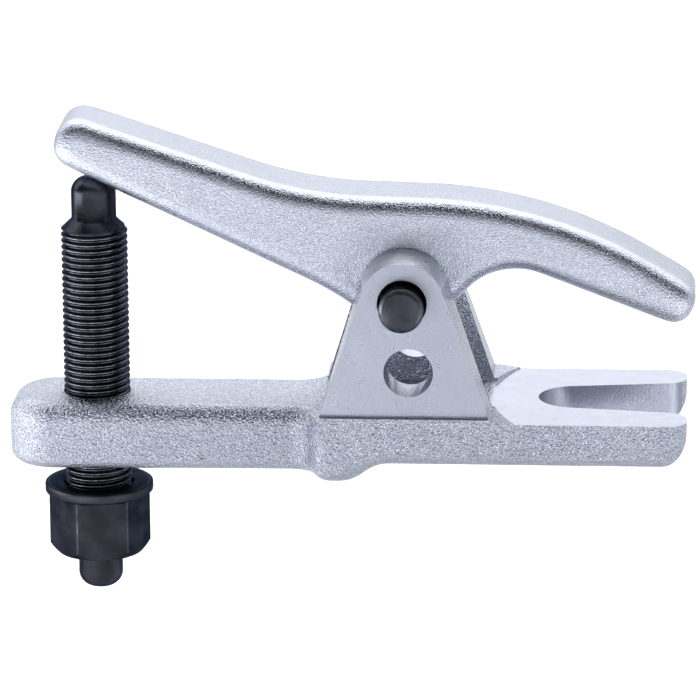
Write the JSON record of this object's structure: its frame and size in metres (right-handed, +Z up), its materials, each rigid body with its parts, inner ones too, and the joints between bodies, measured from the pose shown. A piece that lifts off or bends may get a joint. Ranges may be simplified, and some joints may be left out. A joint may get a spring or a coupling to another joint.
{
  "type": "ball joint separator",
  "caption": "Forged fork with a rocking lever on a clevis pin, pushed up by a forcing screw so the lever's nose presses a ball joint stud out of the fork.",
  "frame": {"origin": "on the axis of the lower pivot bore, midway between the two ears", "axes": "+X to the fork's tips, +Y along the pivot bores, +Z up along the forcing screw"},
  "size_m": [0.1471, 0.05, 0.1057],
  "materials": {
    "satin_chrome": "satin chrome plate over a shot-blasted forging",
    "black_oxide": "black oxide, lightly oiled",
    "spring_wire": "drawn spring wire"
  },
  "bodies": {
    "fork": {"fork_body": "satin_chrome"},
    "screw": {"forcing_screw": "black_oxide"},
    "nut": {"drive_nut": "black_oxide"},
    "lever": {"lever": "satin_chrome", "pivot_pin": "black_oxide", "pin_snap_ring": "spring_wire"}
  },
  "joints": [
    {"name": "screw_travel", "type": "slide", "parent": "fork", "child": "screw", "axis": [0, 0, 1], "range_m": [-0.03, 0.0056]},
    {"name": "hex_turn", "type": "hinge", "parent": "screw", "child": "nut", "pos_m": [-0.0682, 0, -0.0385], "axis": [0, 0, 1], "range_deg": [-7660, 1430]},
    {"name": "lever_swing", "type": "hinge", "parent": "fork", "child": "lever", "pos_m": [-0.0013, 0, 0.0146], "axis": [0, 1, 0], "range_deg": [-23.2, 4.4]}
  ],
  "couplings": [
    {"joint": "hex_turn", "follows": "screw_travel", "rad_per_m": 4452.7},
    {"joint": "lever_swing", "follows": "screw_travel", "rad_per_m": 13.425}
  ]
}
